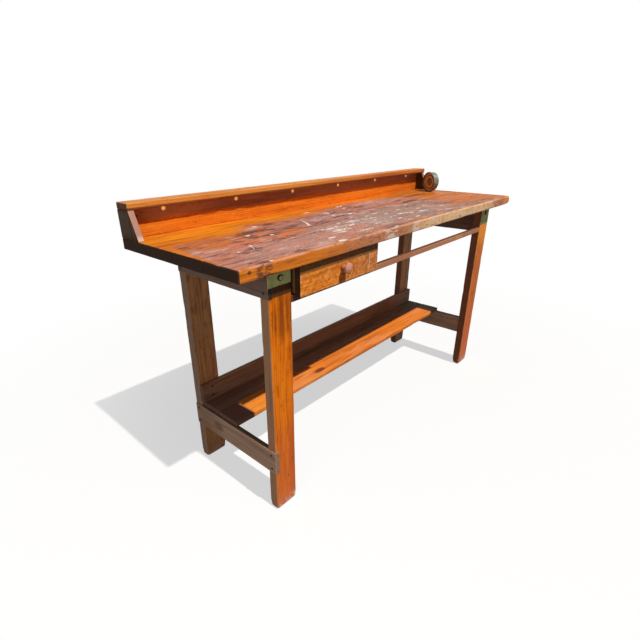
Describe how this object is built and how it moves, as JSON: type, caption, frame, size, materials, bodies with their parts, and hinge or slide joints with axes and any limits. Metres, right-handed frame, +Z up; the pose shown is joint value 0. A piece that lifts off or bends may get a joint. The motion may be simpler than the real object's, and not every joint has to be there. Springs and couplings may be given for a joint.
{
  "type": "woodworking bench",
  "caption": "Old wooden workbench with a plank top, a low backboard under a cap rail, a drawer with a turned knob, and a plank shelf between the end stretchers.",
  "frame": {"origin": "on the floor, under the centre of the bench's outline with the knob counted in", "axes": "+X along the bench to the worker's right, +Y from the worker to the backboard, +Z up"},
  "size_m": [1.822, 0.598, 1.008],
  "materials": {
    "top_wood": "worn oil, splashed with paint",
    "back_wood": "old varnish",
    "frame_wood": "old varnish, worn, some green paint",
    "rusty_steel": "rusty",
    "drawer_wood": "old varnish, rubbed edges",
    "knob_wood": "worn bare",
    "fitting_metal": "dull, rust on the face"
  },
  "bodies": {
    "frame": {"top_plank_1": "top_wood", "top_plank_2": "top_wood", "top_plank_3": "top_wood", "top_plank_4": "top_wood", "backboard": "back_wood", "cap_rail": "back_wood", "end_board_left": "back_wood", "end_board_right": "back_wood", "leg_front_left": "frame_wood", "leg_back_left": "frame_wood", "leg_front_right": "frame_wood", "leg_back_right": "frame_wood", "end_rail_left": "frame_wood", "end_rail_right": "frame_wood", "end_stretcher_left": "frame_wood", "end_stretcher_right": "frame_wood", "shelf_plank_1": "frame_wood", "shelf_plank_2": "frame_wood", "back_stretcher": "frame_wood", "front_rail": "frame_wood", "drawer_hanger_left": "frame_wood", "drawer_hanger_right": "frame_wood", "drawer_runner_left": "frame_wood", "drawer_runner_right": "frame_wood", "top_bearer": "frame_wood", "drawer_stop": "frame_wood", "end_rail_left_nails": "rusty_steel", "end_stretcher_left_nails": "rusty_steel", "end_rail_right_nails": "rusty_steel", "end_stretcher_right_nails": "rusty_steel", "back_stretcher_nails": "rusty_steel", "leg_bolts": "rusty_steel", "fitting_screw": "rusty_steel", "fitting_shell": "fitting_metal", "fitting_cover": "fitting_metal", "fitting_boss": "fitting_metal"},
    "drawer": {"drawer_front": "drawer_wood", "drawer_side_left": "drawer_wood", "drawer_side_right": "drawer_wood", "drawer_back": "drawer_wood", "drawer_bottom": "drawer_wood", "drawer_knob": "knob_wood", "knob_screw": "rusty_steel"}
  },
  "joints": [
    {"name": "drawer_slide", "type": "slide", "parent": "frame", "child": "drawer", "axis": [0, -1, 0], "range_m": [0, 0.28]}
  ]
}
